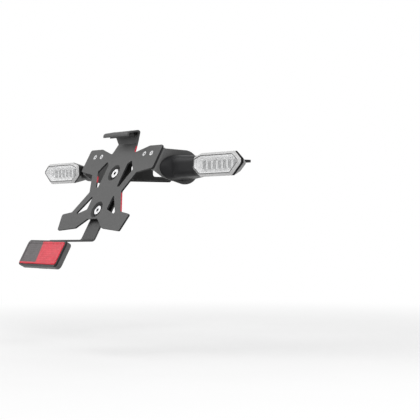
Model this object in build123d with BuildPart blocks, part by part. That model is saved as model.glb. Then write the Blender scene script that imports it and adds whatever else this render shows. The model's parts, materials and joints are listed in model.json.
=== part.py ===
from build123d import *
import os
from math import cos, radians, sin, tan

os.makedirs("parts", exist_ok=True)

# All sizes are millimetres and degrees.
# The origin is the middle of the bolt pattern on the face that meets the tail: X right, Y forward, Z up.
# "Up" on the holder runs up its sloping face from the upper screw, and "depth" runs forward from that face.

# Place of the holder under the tail
holder_reach = 140.0
holder_drop = 18.0
holder_tilt = 28.6

# X-shaped plate of the holder: half widths and heights of its right-hand outline
holder_sheet = 2.0
corner_radius = 2.5
neck_half = 20.0
neck_bend = 39.0
valley_half = 24.5
valley_up = 25.8
ear_inner = 52.0
ear_half = 78.8
ear_top = 34.0
ear_low = 4.2
armpit_half = 48.8
armpit_up = -0.7
waist_half = 35.4
waist_up = -25.2
ankle_half = 54.6
ankle_up = -52.0
foot_half = 75.3
foot_top = -55.0
sole_half = 69.0
sole_up = -76.3
sole_inner = 29.8
sole_inner_up = -73.0
notch_half = 11.0
notch_up = -61.0

# Windows of the X, as corners of the right-hand ones
upper_window = [(20.5, 11.5), (27.3, 15.6), (38.5, 3.0), (26.0, -18.8), (21.0, -19.5)]
lower_window = [(22.6, -28.8), (22.2, -48.6), (45.6, -55.8)]
window_radius = 1.6

# Indicator brackets: a flange behind each ear, folded forward into a wing
side_sheet = 2.0
wing_face = 78.5
wing_top = 32.0
wing_low = 2.6
wing_corner_depth = 18.0
wing_corner_up = 1.8
wing_round = 19.5
fold_radius = 3.5
fold_overlap = 1.0
flange_end = 40.5
flange_top = 28.5
flange_low = 16.0
axis_depth = 38.5
axis_up = 26.5

# Countersunk blind rivets that hold the brackets to the ears, just below the face for the number plate
rivet_up = 23.7
outer_rivet_spacing = 124.0
inner_rivet_spacing = 94.6
rivet_diameter = 3.2
rivet_clearance = 0.1
rivet_head_diameter = 6.4
rivet_head_angle = 120.0
rivet_sink = 0.1
rivet_pin_diameter = 1.8
rivet_pin_depth = 0.7
rivet_tail_diameter = 4.6
rivet_tail_height = 3.0

# Neck and visor above the plate
neck_lean = 5.0
neck_rise = 13.2
visor_half = 27.0
visor_depth = 14.0
visor_droop = 10.0
lip_height = 3.0
hood_bend = 1.8
neck_overlap = 3.0

# Screws through the pressed dishes
screw_pitch = 48.8
screw_diameter = 6.0
screw_clearance = 0.6
screw_head_diameter = 12.0
screw_head_height = 2.4
screw_socket = 4.0
screw_socket_depth = 1.5
screw_end = 1.5
dish_radius = 10.5
dish_floor = 7.4
dish_depth = 3.6
dish_wall = 1.4
nut_width = 10.0
nut_height = 5.0
nut_flange_radius = 6.6
nut_flange_height = 1.2

# Main bracket: bolt plate, arm and tongue in one folded sheet
bracket_sheet = 3.0
bracket_bend = 5.0
arm_half = 25.0
arm_height = 27.0
tongue_half = 11.5
tongue_low = -60.0
bolt_plate_half = 45.0
bolt_plate_length = 60.0
bolt_plate_radius = 8.0
bolt_spacing_x = 66.0
bolt_spacing_y = 36.0
bolt_hole_diameter = 6.6
wall_setback = 1.0
wall_relief = 4.0
wall_front_rise = 12.0
wall_rail = 4.5
wall_head = 8.0
wall_post = 15.0
wall_window_radius = 3.0

# Plate lamp under the visor
lamp_length = 44.0
lamp_width = 8.6
lamp_height = 4.6
lamp_pocket_length = 30.0
lamp_pocket_width = 6.0
lamp_roof = 1.0
lamp_lens_sheet = 1.4
lamp_board_sheet = 0.9
lamp_led = 2.2
lamp_led_height = 0.6
lamp_led_pitch = 9.0
lamp_screw_diameter = 3.0
lamp_screw_clearance = 0.4
lamp_screw_length = 5.6
lamp_screw_head_diameter = 5.6
lamp_screw_head_height = 1.6
lamp_screw_spacing = 37.0

# Reflector on its folded strip
strip_sheet = 2.0
strip_half = 14.5
strip_bend = 4.0
strip_top = -34.0
strip_low = -85.5
head_half = 23.0
head_length = 23.0
tab_reach = 15.0
tab_radius = 6.0
reflector_length = 87.0
reflector_height = 32.0
reflector_depth = 8.0
reflector_up = -126.0
reflector_stand_off = 31.0
reflector_corner = 5.0
reflector_rim = 2.0
reflector_recess = 2.0
reflector_lens_sheet = 3.0
stud_diameter = 5.0
stud_length = 9.0
stud_nut_width = 8.0
stud_nut_height = 4.0
stud_washer_diameter = 10.0
stud_washer_sheet = 1.0

# Indicators
foot_half_length = 27.0
foot_half_height = 15.0
foot_shift = -9.0
foot_drop = -1.0
foot_rise = 8.0
stem_base_width = 41.0
stem_base_height = 26.5
stem_base_radius = 9.0
stem_base_shift = -3.5
stem_end_width = 24.0
stem_end_height = 22.0
stem_end_radius = 6.0
stem_end_shift = -4.5
stem_end_face = 119.0
collar_length = 26.0
collar_end_width = 12.0
collar_end_height = 8.0
collar_end_shift = -6.5
spigot_diameter = 12.0
spigot_length = 10.0
lens_inner = 125.0
lens_outer = 214.0
lens_half_height = 12.9
lens_stand_off = 23.5
lens_height = 4.5
lens_bevel = 2.6
lens_wall = 2.0
housing_depth = 24.0
housing_pole = 150.0
housing_back_share = 0.56
housing_wall = 2.2
pocket_depth = 10.0
tray_sheet = 1.4
tray_clearance = 0.3
rib_width = 1.2
rib_height = 2.6
rib_count = 11
board_share = 0.52
board_width = 7.0
board_sheet = 1.6
led_width = 3.0
led_height = 1.0
led_count = 5
indicator_stud_diameter = 8.0
indicator_stud_bore = 4.0
indicator_stud_clearance = 0.5
indicator_stud_grip = 18.0
indicator_stud_end = 2.0
indicator_nut_width = 13.0
indicator_nut_height = 6.0
indicator_washer_diameter = 17.0
indicator_washer_sheet = 1.6

# Directions and planes shared by the pieces
tilt_sin = sin(radians(holder_tilt))
tilt_cos = cos(radians(holder_tilt))
depth_direction = (0, tilt_cos, -tilt_sin)
holder = Plane(origin=(0, -holder_reach, -holder_drop), x_dir=(1, 0, 0), z_dir=(0, -tilt_cos, tilt_sin))
holder_axis = Axis(holder.origin, holder.z_dir)
dish_back = dish_depth + holder_sheet
tongue_depth = dish_back + strip_sheet
screw_points = [(0, 0), (0, -screw_pitch)]
screw_spots = [holder.location * Pos(x, up, 0) for x, up in screw_points]
cup_align = (Align.CENTER, Align.CENTER, Align.MAX)
screw_hole_radius = (screw_diameter + screw_clearance) / 2


def at(depth, up):
    """Y and Z of a point on the middle plane, from its depth and height on the holder."""
    y = -holder_reach + tilt_sin * up + tilt_cos * depth
    z = -holder_drop + tilt_cos * up - tilt_sin * depth
    return (y, z)


def step_from(point, angle, length):
    """Y and Z of a point a length away, at an angle above the forward direction."""
    return (point[0] + length * cos(radians(angle)), point[1] + length * sin(radians(angle)))


def side_plane(x):
    """Plane facing right at the given X, with depth along its x and up along its y."""
    return Plane(origin=(x, -holder_reach, -holder_drop), x_dir=depth_direction, z_dir=(1, 0, 0))


def mirrored(points):
    """Left-hand twin of a list of right-hand points."""
    return [(-x, y) for x, y in points]


def is_near(vertex, points):
    """Whether a vertex lies at one of the points, on either side of the middle."""
    return any(abs(abs(vertex.X) - x) + abs(vertex.Y - y) < 0.01 for x, y in points)


axis_y, axis_z = at(axis_depth, axis_up)
fold_start = wing_face - fold_radius
wing_edge = holder_sheet + fold_radius
rivet_grip = holder_sheet + side_sheet
rivet_points = [
    (side * spacing / 2, rivet_up)
    for side in (-1, 1)
    for spacing in (outer_rivet_spacing, inner_rivet_spacing)
]
rivet_spots = [holder.location * Pos(x, up, 0) for x, up in rivet_points]
rivet_hole_radius = (rivet_diameter + rivet_clearance) / 2

# Neck and visor: a bent strip whose inner line runs up the neck, back under the visor and down the lip
neck_start = at(0, neck_bend - neck_overlap)
neck_foot = at(0, neck_bend)
neck_top = step_from(neck_foot, 90 + neck_lean, neck_rise)
visor_tip = step_from(neck_top, 180 + visor_droop, visor_depth)
lip_end = step_from(visor_tip, -90, lip_height)
lamp_plane = Plane(
    origin=(0, (neck_top[0] + visor_tip[0]) / 2, (neck_top[1] + visor_tip[1]) / 2),
    x_dir=(1, 0, 0),
    z_dir=(0, sin(radians(visor_droop)), -cos(radians(visor_droop))),
)

with BuildPart() as hood:
    with BuildSketch(Plane.YZ):
        with BuildLine():
            FilletPolyline(neck_start, neck_foot, neck_top, visor_tip, lip_end, radius=hood_bend)
            offset(amount=holder_sheet, side=Side.RIGHT)
        make_face()
    extrude(amount=visor_half, both=True)
    # the neck narrows from the visor down to the plate
    with BuildSketch(Plane.XZ.offset(-(visor_tip[0] + 3 * holder_sheet))):
        neck_side = [
            (visor_half, neck_top[1]),
            (neck_half, neck_foot[1]),
            (neck_half, neck_foot[1] - 2 * neck_overlap),
            (2 * visor_half, neck_foot[1] - 2 * neck_overlap),
            (2 * visor_half, neck_top[1]),
        ]
        Polygon(*neck_side, align=None)
        mirror(about=Plane.YZ)
    extrude(amount=-2 * visor_depth, mode=Mode.SUBTRACT)
    with BuildSketch(lamp_plane):
        with GridLocations(lamp_screw_spacing, 0, 2, 1):
            Circle((lamp_screw_diameter + lamp_screw_clearance) / 2)
    extrude(amount=-holder_sheet, mode=Mode.SUBTRACT)

# Right-hand indicator bracket: a flange riveted behind the ear, folded forward into the wing
with BuildPart() as indicator_bracket:
    with BuildSketch(holder.offset(-holder_sheet)):
        Polygon(
            (fold_start, wing_low),
            (fold_start, wing_top),
            (flange_end, flange_top),
            (flange_end, flange_low),
            align=None,
        )
    extrude(amount=-side_sheet)
    fillet(indicator_bracket.edges().filter_by(holder_axis).group_by(Axis.X)[0], radius=corner_radius)
    fold_plane = Plane(
        origin=holder.from_local_coords((0, wing_low, -holder_sheet)), x_dir=(1, 0, 0), z_dir=holder.y_dir
    )
    with BuildSketch(fold_plane):
        with BuildLine():
            FilletPolyline(
                (fold_start - fold_overlap, 0),
                (wing_face, 0),
                (wing_face, fold_radius + fold_overlap),
                radius=fold_radius,
            )
            offset(amount=side_sheet, side=Side.LEFT)
        make_face()
    extrude(amount=wing_top - wing_low)
    with BuildSketch(side_plane(wing_face - side_sheet)):
        with BuildLine():
            Polyline((wing_edge, wing_top), (wing_edge, wing_low), (wing_corner_depth, wing_corner_up))
            CenterArc((axis_depth, axis_up), wing_round, 0, 360)
        make_hull()
        with Locations((axis_depth, axis_up)):
            Circle((indicator_stud_diameter + indicator_stud_clearance) / 2, mode=Mode.SUBTRACT)
    extrude(amount=side_sheet)
    with Locations(*rivet_spots):
        Hole(rivet_hole_radius)

# Blind rivet, drawn about Z with the holder's face at zero, and the four in their places
rivet_radius = rivet_diameter / 2
rivet_head_radius = rivet_head_diameter / 2
rivet_pin_radius = rivet_pin_diameter / 2
rivet_tail_radius = rivet_tail_diameter / 2
rivet_slope = tan(radians(rivet_head_angle / 2))
rivet_neck = -rivet_sink - (rivet_head_radius - rivet_radius) / rivet_slope
rivet_end = -rivet_grip - rivet_tail_height
pin_floor = -rivet_sink - rivet_pin_depth

with BuildPart() as rivet:
    with BuildSketch(Plane.XZ):
        with BuildLine():
            Polyline(
                (0, rivet_end),
                (0, pin_floor),
                (rivet_pin_radius, pin_floor),
                (rivet_pin_radius, -rivet_sink),
                (rivet_head_radius, -rivet_sink),
                (rivet_radius, rivet_neck),
                (rivet_radius, -rivet_grip),
                (rivet_tail_radius, -rivet_grip),
                (rivet_tail_radius, -rivet_grip - rivet_tail_height / 2),
                (rivet_radius, rivet_end),
                close=True,
            )
        make_face()
    revolve(axis=Axis.Z)

with BuildPart() as bracket_rivets:
    with Locations(*rivet_spots):
        add(rivet.part)

# Plate holder: the X with its windows, rivet holes and pressed dishes, joined to its hood
x_outline = [
    (neck_half, neck_bend),
    (valley_half, valley_up),
    (ear_inner, ear_top),
    (ear_half, ear_top),
    (ear_half, ear_low),
    (armpit_half, armpit_up),
    (waist_half, waist_up),
    (ankle_half, ankle_up),
    (foot_half, foot_top),
    (sole_half, sole_up),
    (sole_inner, sole_inner_up),
    (notch_half, notch_up),
]

with BuildPart() as plate_holder:
    with BuildSketch(holder) as x_plate:
        with BuildLine():
            Polyline((0, neck_bend), *x_outline, (0, notch_up))
            mirror(about=Plane.YZ)
        make_face()
        joined_points = [(neck_half, neck_bend), (0, neck_bend), (0, notch_up)]
        free_corners = [v for v in x_plate.vertices() if not is_near(v, joined_points)]
        fillet(free_corners, radius=corner_radius)
    extrude(amount=-holder_sheet)
    with Locations(*rivet_spots):
        CounterSinkHole(
            rivet_hole_radius,
            rivet_head_radius + rivet_sink * rivet_slope,
            counter_sink_angle=rivet_head_angle,
        )
    with BuildSketch(holder) as windows:
        for corners in (upper_window, lower_window):
            Polygon(*corners, align=None)
            Polygon(*mirrored(corners), align=None)
        fillet(windows.vertices(), radius=window_radius)
    extrude(amount=-holder_sheet, mode=Mode.SUBTRACT)
    add(hood.part)
    with Locations(*[spot * Pos(0, 0, -holder_sheet) for spot in screw_spots]):
        Cone(dish_floor + dish_wall, dish_radius + dish_wall, dish_depth, align=cup_align)
    with Locations(*screw_spots):
        Cone(dish_floor, dish_radius, dish_depth, align=cup_align, mode=Mode.SUBTRACT)
        Hole(screw_hole_radius)

# Main bracket: bolt plate and arm in one plane, walls folded down, tongue folded down behind the holder
tongue_corner_up = (holder_drop + tilt_sin * tongue_depth) / tilt_cos
tongue_corner = at(tongue_depth, tongue_corner_up)
bolt_plate_rear = -bolt_plate_length / 2
arm_rear = tongue_corner[0] + bracket_bend
wall_depth = tongue_depth + bracket_sheet + wall_setback
wall_top_up = (holder_drop + tilt_sin * wall_depth) / tilt_cos
wall_foot_up = wall_top_up - arm_height / tilt_cos
wall_top_rear = at(wall_depth, wall_top_up)
wall_foot_rear = at(wall_depth, wall_foot_up)
wall_top_front = bolt_plate_rear - wall_relief
wall_foot_front = wall_top_front - wall_front_rise

with BuildPart() as main_bracket:
    with BuildSketch(Plane.XY):
        with Locations((0, (arm_rear + bolt_plate_rear) / 2)):
            Rectangle(2 * arm_half, bolt_plate_rear - arm_rear)
        RectangleRounded(2 * bolt_plate_half, bolt_plate_length, bolt_plate_radius)
        with GridLocations(bolt_spacing_x, bolt_spacing_y, 2, 2):
            Circle(bolt_hole_diameter / 2, mode=Mode.SUBTRACT)
    extrude(amount=-bracket_sheet)
    with BuildSketch(Plane.YZ.offset(arm_half - bracket_sheet)) as wall:
        with BuildLine():
            Polyline(
                wall_top_rear,
                wall_foot_rear,
                (wall_foot_front, -arm_height),
                (wall_top_front, 0),
                close=True,
            )
        make_face()
        fillet(wall.vertices().group_by(Axis.Y)[0], radius=corner_radius)
    extrude(amount=bracket_sheet)
    with BuildSketch(Plane.YZ.offset(arm_half - bracket_sheet)) as wall_window:
        window_rear = wall_foot_rear[0] + wall_post + arm_height * tilt_sin / tilt_cos
        window_front = wall_foot_front - wall_rail
        with BuildLine():
            Polyline(
                (window_rear, -wall_head),
                (window_rear, wall_rail - arm_height),
                (window_front, wall_rail - arm_height),
                (window_front + wall_front_rise / 3, -wall_head),
                close=True,
            )
        make_face()
        fillet(wall_window.vertices(), radius=wall_window_radius)
    extrude(amount=bracket_sheet, mode=Mode.SUBTRACT)
    arm_edge = main_bracket.edges().filter_by(Axis.Y).filter_by_position(Axis.Z, -0.1, 0.1)
    fillet(arm_edge.filter_by_position(Axis.X, arm_half - 0.1, arm_half + 0.1), radius=bracket_sheet)
    mirror(about=Plane.YZ)
    with BuildSketch(Plane.YZ):
        with BuildLine():
            FilletPolyline(
                at(tongue_depth, tongue_low), tongue_corner, (bolt_plate_rear, 0), radius=bracket_bend
            )
            offset(amount=bracket_sheet, side=Side.RIGHT)
        make_face()
    extrude(amount=tongue_half, both=True)
    with Locations(*screw_spots):
        Hole(screw_hole_radius)

# Screws, spacer ring and flange nuts that clamp the holder to the tongue
nut_seat = tongue_depth + bracket_sheet

with BuildPart() as holder_screws:
    with BuildSketch(holder.offset(screw_head_height - dish_depth)):
        with Locations(*screw_points):
            Circle(screw_head_diameter / 2)
    extrude(amount=-screw_head_height)
    head_rims = holder_screws.edges().group_by(holder_axis)[-1]
    fillet(head_rims.filter_by(GeomType.CIRCLE), radius=screw_head_height / 4)
    with BuildSketch(holder.offset(-dish_depth)):
        with Locations(*screw_points):
            Circle(screw_diameter / 2)
    extrude(amount=dish_depth - nut_seat - nut_height - screw_end)
    with BuildSketch(holder.offset(screw_head_height - dish_depth)):
        with Locations(*screw_points):
            RegularPolygon(screw_socket / 2, 6, major_radius=False)
    extrude(amount=-screw_socket_depth, mode=Mode.SUBTRACT)

with BuildPart() as holder_nuts:
    with BuildSketch(holder.offset(-nut_seat)):
        with Locations(*screw_points):
            Circle(nut_flange_radius)
            Circle(screw_diameter / 2, mode=Mode.SUBTRACT)
    extrude(amount=-nut_flange_height)
    with BuildSketch(holder.offset(-nut_seat - nut_flange_height)):
        with Locations(*screw_points):
            RegularPolygon(nut_width / 2, 6, major_radius=False)
            Circle(screw_diameter / 2, mode=Mode.SUBTRACT)
    extrude(amount=nut_flange_height - nut_height)

with BuildPart() as upper_spacer:
    with BuildSketch(holder.offset(-dish_back)):
        Circle(dish_floor + dish_wall)
        Circle(screw_hole_radius, mode=Mode.SUBTRACT)
    extrude(amount=-strip_sheet)

# Plate lamp: a slim body with a board and a lens, screwed up against the visor
lamp_screw_depth = lamp_screw_length - holder_sheet

with BuildPart() as plate_lamp_body:
    with BuildSketch(lamp_plane):
        RectangleRounded(lamp_length, lamp_width, lamp_width / 4)
    extrude(amount=lamp_height)
    with BuildSketch(lamp_plane.offset(lamp_roof)):
        Rectangle(lamp_pocket_length, lamp_pocket_width)
    extrude(amount=lamp_height - lamp_roof, mode=Mode.SUBTRACT)
    with BuildSketch(lamp_plane):
        with GridLocations(lamp_screw_spacing, 0, 2, 1):
            Circle(lamp_screw_diameter / 2)
    extrude(amount=lamp_screw_depth, mode=Mode.SUBTRACT)

with BuildPart() as plate_lamp_board:
    with BuildSketch(lamp_plane.offset(lamp_roof)):
        Rectangle(lamp_pocket_length, lamp_pocket_width)
    extrude(amount=lamp_board_sheet)
    with BuildSketch(lamp_plane.offset(lamp_roof + lamp_board_sheet)):
        with GridLocations(lamp_led_pitch, 0, 3, 1):
            Rectangle(lamp_led, lamp_led)
    extrude(amount=lamp_led_height)

with BuildPart() as plate_lamp_lens:
    with BuildSketch(lamp_plane.offset(lamp_height - lamp_lens_sheet)):
        Rectangle(lamp_pocket_length, lamp_pocket_width)
    extrude(amount=lamp_lens_sheet)

with BuildPart() as plate_lamp_screws:
    with BuildSketch(lamp_plane.offset(-holder_sheet - lamp_screw_head_height)):
        with GridLocations(lamp_screw_spacing, 0, 2, 1):
            Circle(lamp_screw_head_diameter / 2)
    extrude(amount=lamp_screw_head_height)
    fillet(plate_lamp_screws.edges().group_by(Axis.Z)[-1], radius=lamp_screw_head_height / 2)
    with BuildSketch(lamp_plane.offset(-holder_sheet)):
        with GridLocations(lamp_screw_spacing, 0, 2, 1):
            Circle(lamp_screw_diameter / 2)
    extrude(amount=lamp_screw_length)

# Reflector strip: folded from behind the holder, back under the number plate and down behind the reflector
tab_depth = -reflector_stand_off
strip_corner = at(dish_back, strip_low)
tab_corner_up = (strip_corner[1] + holder_drop + tilt_sin * tab_depth) / tilt_cos
tab_corner = at(tab_depth, tab_corner_up)
strip_start = at(dish_back, strip_top)
tab_end = at(tab_depth, reflector_up - tab_reach)

with BuildPart() as reflector_bracket:
    with BuildSketch(Plane.YZ):
        with BuildLine():
            FilletPolyline(strip_start, strip_corner, tab_corner, tab_end, radius=strip_bend)
            offset(amount=strip_sheet, side=Side.LEFT)
        make_face()
    extrude(amount=strip_half, both=True)
    tab_corners = reflector_bracket.edges().filter_by(holder_axis).group_by(Axis.Z)[0]
    fillet(tab_corners, radius=tab_radius)
    with BuildSketch(holder.offset(-dish_back)):
        with Locations((0, strip_top - head_length / 2)):
            RectangleRounded(2 * head_half, head_length, corner_radius)
    extrude(amount=-strip_sheet)
    with Locations(holder.location * Pos(0, -screw_pitch, 0)):
        Hole(screw_hole_radius)
    with Locations(holder.location * Pos(0, reflector_up, 0)):
        Hole((stud_diameter + screw_clearance) / 2)

reflector_face = reflector_stand_off + reflector_depth

with BuildPart() as reflector_housing:
    with BuildSketch(holder.offset(reflector_stand_off)):
        with Locations((0, reflector_up)):
            RectangleRounded(reflector_length, reflector_height, reflector_corner)
    extrude(amount=reflector_depth)
    fillet(reflector_housing.faces().sort_by(holder_axis).first.edges(), radius=reflector_rim / 2)
    with BuildSketch(holder.offset(reflector_face)):
        with Locations((0, reflector_up)):
            RectangleRounded(
                reflector_length - 2 * reflector_rim,
                reflector_height - 2 * reflector_rim,
                reflector_corner - reflector_rim,
            )
    extrude(amount=-reflector_recess, mode=Mode.SUBTRACT)
    with BuildSketch(holder.offset(reflector_stand_off)):
        with Locations((0, reflector_up)):
            Circle(stud_diameter / 2)
    extrude(amount=-stud_length)

with BuildPart() as reflector_lens:
    with BuildSketch(holder.offset(reflector_face - reflector_recess)):
        with Locations((0, reflector_up)):
            RectangleRounded(
                reflector_length - 2 * reflector_rim,
                reflector_height - 2 * reflector_rim,
                reflector_corner - reflector_rim,
            )
    extrude(amount=reflector_lens_sheet)

tab_back = reflector_stand_off - strip_sheet

with BuildPart() as reflector_washer:
    with BuildSketch(holder.offset(tab_back)):
        with Locations((0, reflector_up)):
            Circle(stud_washer_diameter / 2)
            Circle(stud_diameter / 2, mode=Mode.SUBTRACT)
    extrude(amount=-stud_washer_sheet)

with BuildPart() as reflector_nut:
    with BuildSketch(holder.offset(tab_back - stud_washer_sheet)):
        with Locations((0, reflector_up)):
            RegularPolygon(stud_nut_width / 2, 6, major_radius=False)
            Circle(stud_diameter / 2, mode=Mode.SUBTRACT)
    extrude(amount=-stud_nut_height)

# Right-hand indicator, from its rubber stem on the wing out to its lens
stem_root = wing_face + foot_rise
lens_rim = lens_stand_off - lens_height
lens_length = lens_outer - lens_inner
lens_middle = (lens_inner + lens_outer) / 2 - housing_pole
board_length = board_share * lens_length
rim_y = axis_y - lens_rim
# the lens outline is drawn about the pole that the housing shrinks towards behind it
lens_plane = Plane(origin=(housing_pole, rim_y, axis_z), x_dir=(1, 0, 0), z_dir=(0, -1, 0))
lens_left = lens_inner - housing_pole
lens_right = lens_outer - housing_pole
lens_outline = [
    (lens_left, -0.3 * lens_half_height),
    (lens_left + 0.02 * lens_length, 0.7 * lens_half_height),
    (lens_left + 0.18 * lens_length, lens_half_height),
    (lens_right - 0.13 * lens_length, lens_half_height),
    (lens_right, 0.34 * lens_half_height),
    (lens_right, 0),
    (lens_right - 0.185 * lens_length, -lens_half_height),
    (lens_left + 0.15 * lens_length, -lens_half_height),
]

with BuildPart() as indicator_stem:
    with BuildSketch(Plane.YZ.offset(wing_face)):
        with Locations((axis_y + foot_shift, axis_z + foot_drop)):
            Ellipse(foot_half_length, foot_half_height)
    with BuildSketch(Plane.YZ.offset(stem_root)):
        with Locations((axis_y + stem_base_shift, axis_z)):
            RectangleRounded(stem_base_width, stem_base_height, stem_base_radius)
    loft()
    with BuildSketch(Plane.YZ.offset(stem_root)):
        with Locations((axis_y + stem_base_shift, axis_z)):
            RectangleRounded(stem_base_width, stem_base_height, stem_base_radius)
    with BuildSketch(Plane.YZ.offset(stem_end_face)):
        with Locations((axis_y + stem_end_shift, axis_z)):
            RectangleRounded(stem_end_width, stem_end_height, stem_end_radius)
    loft()
    with BuildSketch(Plane.YZ.offset(wing_face)):
        with Locations((axis_y, axis_z)):
            Circle(indicator_stud_diameter / 2)
    extrude(amount=indicator_stud_grip, mode=Mode.SUBTRACT)
    with BuildSketch(Plane.YZ.offset(stem_end_face)):
        with Locations((axis_y + stem_end_shift, axis_z)):
            Circle(spigot_diameter / 2)
    extrude(amount=-spigot_length, mode=Mode.SUBTRACT)

wing_back = wing_face - side_sheet
nut_face = wing_back - indicator_washer_sheet
stud_tip = nut_face - indicator_nut_height - indicator_stud_end

with BuildPart() as indicator_stud:
    with BuildSketch(Plane.YZ.offset(stud_tip)):
        with Locations((axis_y, axis_z)):
            Circle(indicator_stud_diameter / 2)
            Circle(indicator_stud_bore / 2, mode=Mode.SUBTRACT)
    extrude(amount=wing_face + indicator_stud_grip - stud_tip)

with BuildPart() as indicator_washer:
    with BuildSketch(Plane.YZ.offset(nut_face)):
        with Locations((axis_y, axis_z)):
            Circle(indicator_washer_diameter / 2)
            Circle((indicator_stud_diameter + indicator_stud_clearance) / 2, mode=Mode.SUBTRACT)
    extrude(amount=indicator_washer_sheet)

with BuildPart() as indicator_nut:
    with BuildSketch(Plane.YZ.offset(nut_face - indicator_nut_height)):
        with Locations((axis_y, axis_z)):
            RegularPolygon(indicator_nut_width / 2, 6, major_radius=False)
            Circle(indicator_stud_diameter / 2, mode=Mode.SUBTRACT)
    extrude(amount=indicator_nut_height)

pocket_share = 1 - (1 - housing_back_share) * pocket_depth / housing_depth
pocket_floor = lens_plane.offset(-pocket_depth)
board_middle = pocket_share * lens_middle

with BuildPart() as indicator_housing:
    with BuildSketch(lens_plane):
        Polygon(*lens_outline, align=None)
    with BuildSketch(lens_plane.offset(-housing_depth)):
        Polygon(*lens_outline, align=None)
        scale(by=housing_back_share)
    loft(ruled=True)
    with BuildSketch(Plane.YZ.offset(stem_end_face)):
        with Locations((axis_y + stem_end_shift, axis_z)):
            RectangleRounded(stem_end_width, stem_end_height, stem_end_radius)
    with BuildSketch(Plane.YZ.offset(stem_end_face + collar_length)):
        with Locations((axis_y + collar_end_shift, axis_z)):
            RectangleRounded(collar_end_width, collar_end_height, collar_end_height / 4)
    loft()
    with BuildSketch(Plane.YZ.offset(stem_end_face)):
        with Locations((axis_y + stem_end_shift, axis_z)):
            Circle(spigot_diameter / 2)
    extrude(amount=-spigot_length)
    with BuildSketch(lens_plane):
        Polygon(*lens_outline, align=None)
        offset(amount=-housing_wall, kind=Kind.INTERSECTION)
    with BuildSketch(pocket_floor):
        Polygon(*lens_outline, align=None)
        offset(amount=-housing_wall, kind=Kind.INTERSECTION)
        scale(by=pocket_share)
    loft(ruled=True, mode=Mode.SUBTRACT)

with BuildPart() as indicator_lens:
    with BuildSketch(lens_plane):
        Polygon(*lens_outline, align=None)
    extrude(amount=lens_height)
    chamfer(indicator_lens.faces().sort_by(Axis.Y).first.edges(), length=lens_bevel)
    with BuildSketch(lens_plane):
        Polygon(*lens_outline, align=None)
        offset(amount=-housing_wall - lens_wall / 2, kind=Kind.INTERSECTION)
    extrude(amount=lens_height - lens_wall, mode=Mode.SUBTRACT)

tray_half_height = pocket_share * (lens_half_height - housing_wall - tray_clearance)

with BuildPart() as indicator_tray:
    with BuildSketch(pocket_floor):
        Polygon(*lens_outline, align=None)
        offset(amount=-housing_wall - tray_clearance, kind=Kind.INTERSECTION)
        scale(by=pocket_share)
        with Locations((board_middle, 0)):
            Rectangle(board_length, board_width, mode=Mode.SUBTRACT)
    extrude(amount=tray_sheet)
    with BuildSketch(pocket_floor.offset(tray_sheet)):
        with Locations((board_middle, 0)):
            with GridLocations(board_length / rib_count, 0, rib_count, 1):
                Rectangle(rib_width, 2 * tray_half_height)
            Rectangle(board_length, board_width, mode=Mode.SUBTRACT)
    extrude(amount=rib_height)

with BuildPart() as indicator_board:
    with BuildSketch(pocket_floor):
        with Locations((board_middle, 0)):
            Rectangle(board_length, board_width)
    extrude(amount=board_sheet)
    with BuildSketch(pocket_floor.offset(board_sheet)):
        with Locations((board_middle, 0)):
            with GridLocations(board_length / led_count, 0, led_count, 1):
                Rectangle(led_width, led_width)
    extrude(amount=led_height)

pieces = {
    "plate_holder": plate_holder,
    "bracket_rivets": bracket_rivets,
    "main_bracket": main_bracket,
    "holder_screws": holder_screws,
    "holder_nuts": holder_nuts,
    "upper_spacer": upper_spacer,
    "plate_lamp_body": plate_lamp_body,
    "plate_lamp_board": plate_lamp_board,
    "plate_lamp_lens": plate_lamp_lens,
    "plate_lamp_screws": plate_lamp_screws,
    "reflector_bracket": reflector_bracket,
    "reflector_housing": reflector_housing,
    "reflector_lens": reflector_lens,
    "reflector_washer": reflector_washer,
    "reflector_nut": reflector_nut,
}
indicator_pieces = {
    "indicator_bracket": indicator_bracket,
    "indicator_stem": indicator_stem,
    "indicator_stud": indicator_stud,
    "indicator_washer": indicator_washer,
    "indicator_nut": indicator_nut,
    "indicator_housing": indicator_housing,
    "indicator_tray": indicator_tray,
    "indicator_board": indicator_board,
    "indicator_lens": indicator_lens,
}

for name, piece in pieces.items():
    piece.part.label = name
    export_step(piece.part, f"parts/{name}.step")

for name, right in indicator_pieces.items():
    with BuildPart() as left:
        mirror(right.part, about=Plane.YZ)
    right.part.label = f"right_{name}"
    left.part.label = f"left_{name}"
    export_step(right.part, f"parts/right_{name}.step")
    export_step(left.part, f"parts/left_{name}.step")
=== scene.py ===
import json
import math

import bmesh
import bpy
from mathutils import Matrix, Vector

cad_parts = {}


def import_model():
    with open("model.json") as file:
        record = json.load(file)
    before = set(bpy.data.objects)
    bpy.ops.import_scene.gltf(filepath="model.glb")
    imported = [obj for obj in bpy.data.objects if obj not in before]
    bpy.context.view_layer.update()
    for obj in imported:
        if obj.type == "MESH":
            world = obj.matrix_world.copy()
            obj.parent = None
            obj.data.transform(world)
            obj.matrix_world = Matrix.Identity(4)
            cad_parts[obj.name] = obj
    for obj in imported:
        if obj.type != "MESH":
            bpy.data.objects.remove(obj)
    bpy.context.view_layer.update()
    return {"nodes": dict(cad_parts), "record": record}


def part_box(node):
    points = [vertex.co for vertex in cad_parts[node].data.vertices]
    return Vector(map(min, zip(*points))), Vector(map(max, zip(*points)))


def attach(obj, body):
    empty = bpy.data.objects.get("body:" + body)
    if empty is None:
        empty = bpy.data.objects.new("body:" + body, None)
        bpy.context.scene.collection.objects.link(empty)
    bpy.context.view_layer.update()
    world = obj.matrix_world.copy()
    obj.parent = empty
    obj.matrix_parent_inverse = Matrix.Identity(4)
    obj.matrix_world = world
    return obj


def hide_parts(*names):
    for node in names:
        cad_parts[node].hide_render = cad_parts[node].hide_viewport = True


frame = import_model()
nodes = frame["nodes"]
scene = bpy.context.scene
scene.view_settings.view_transform = "Standard"

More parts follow.
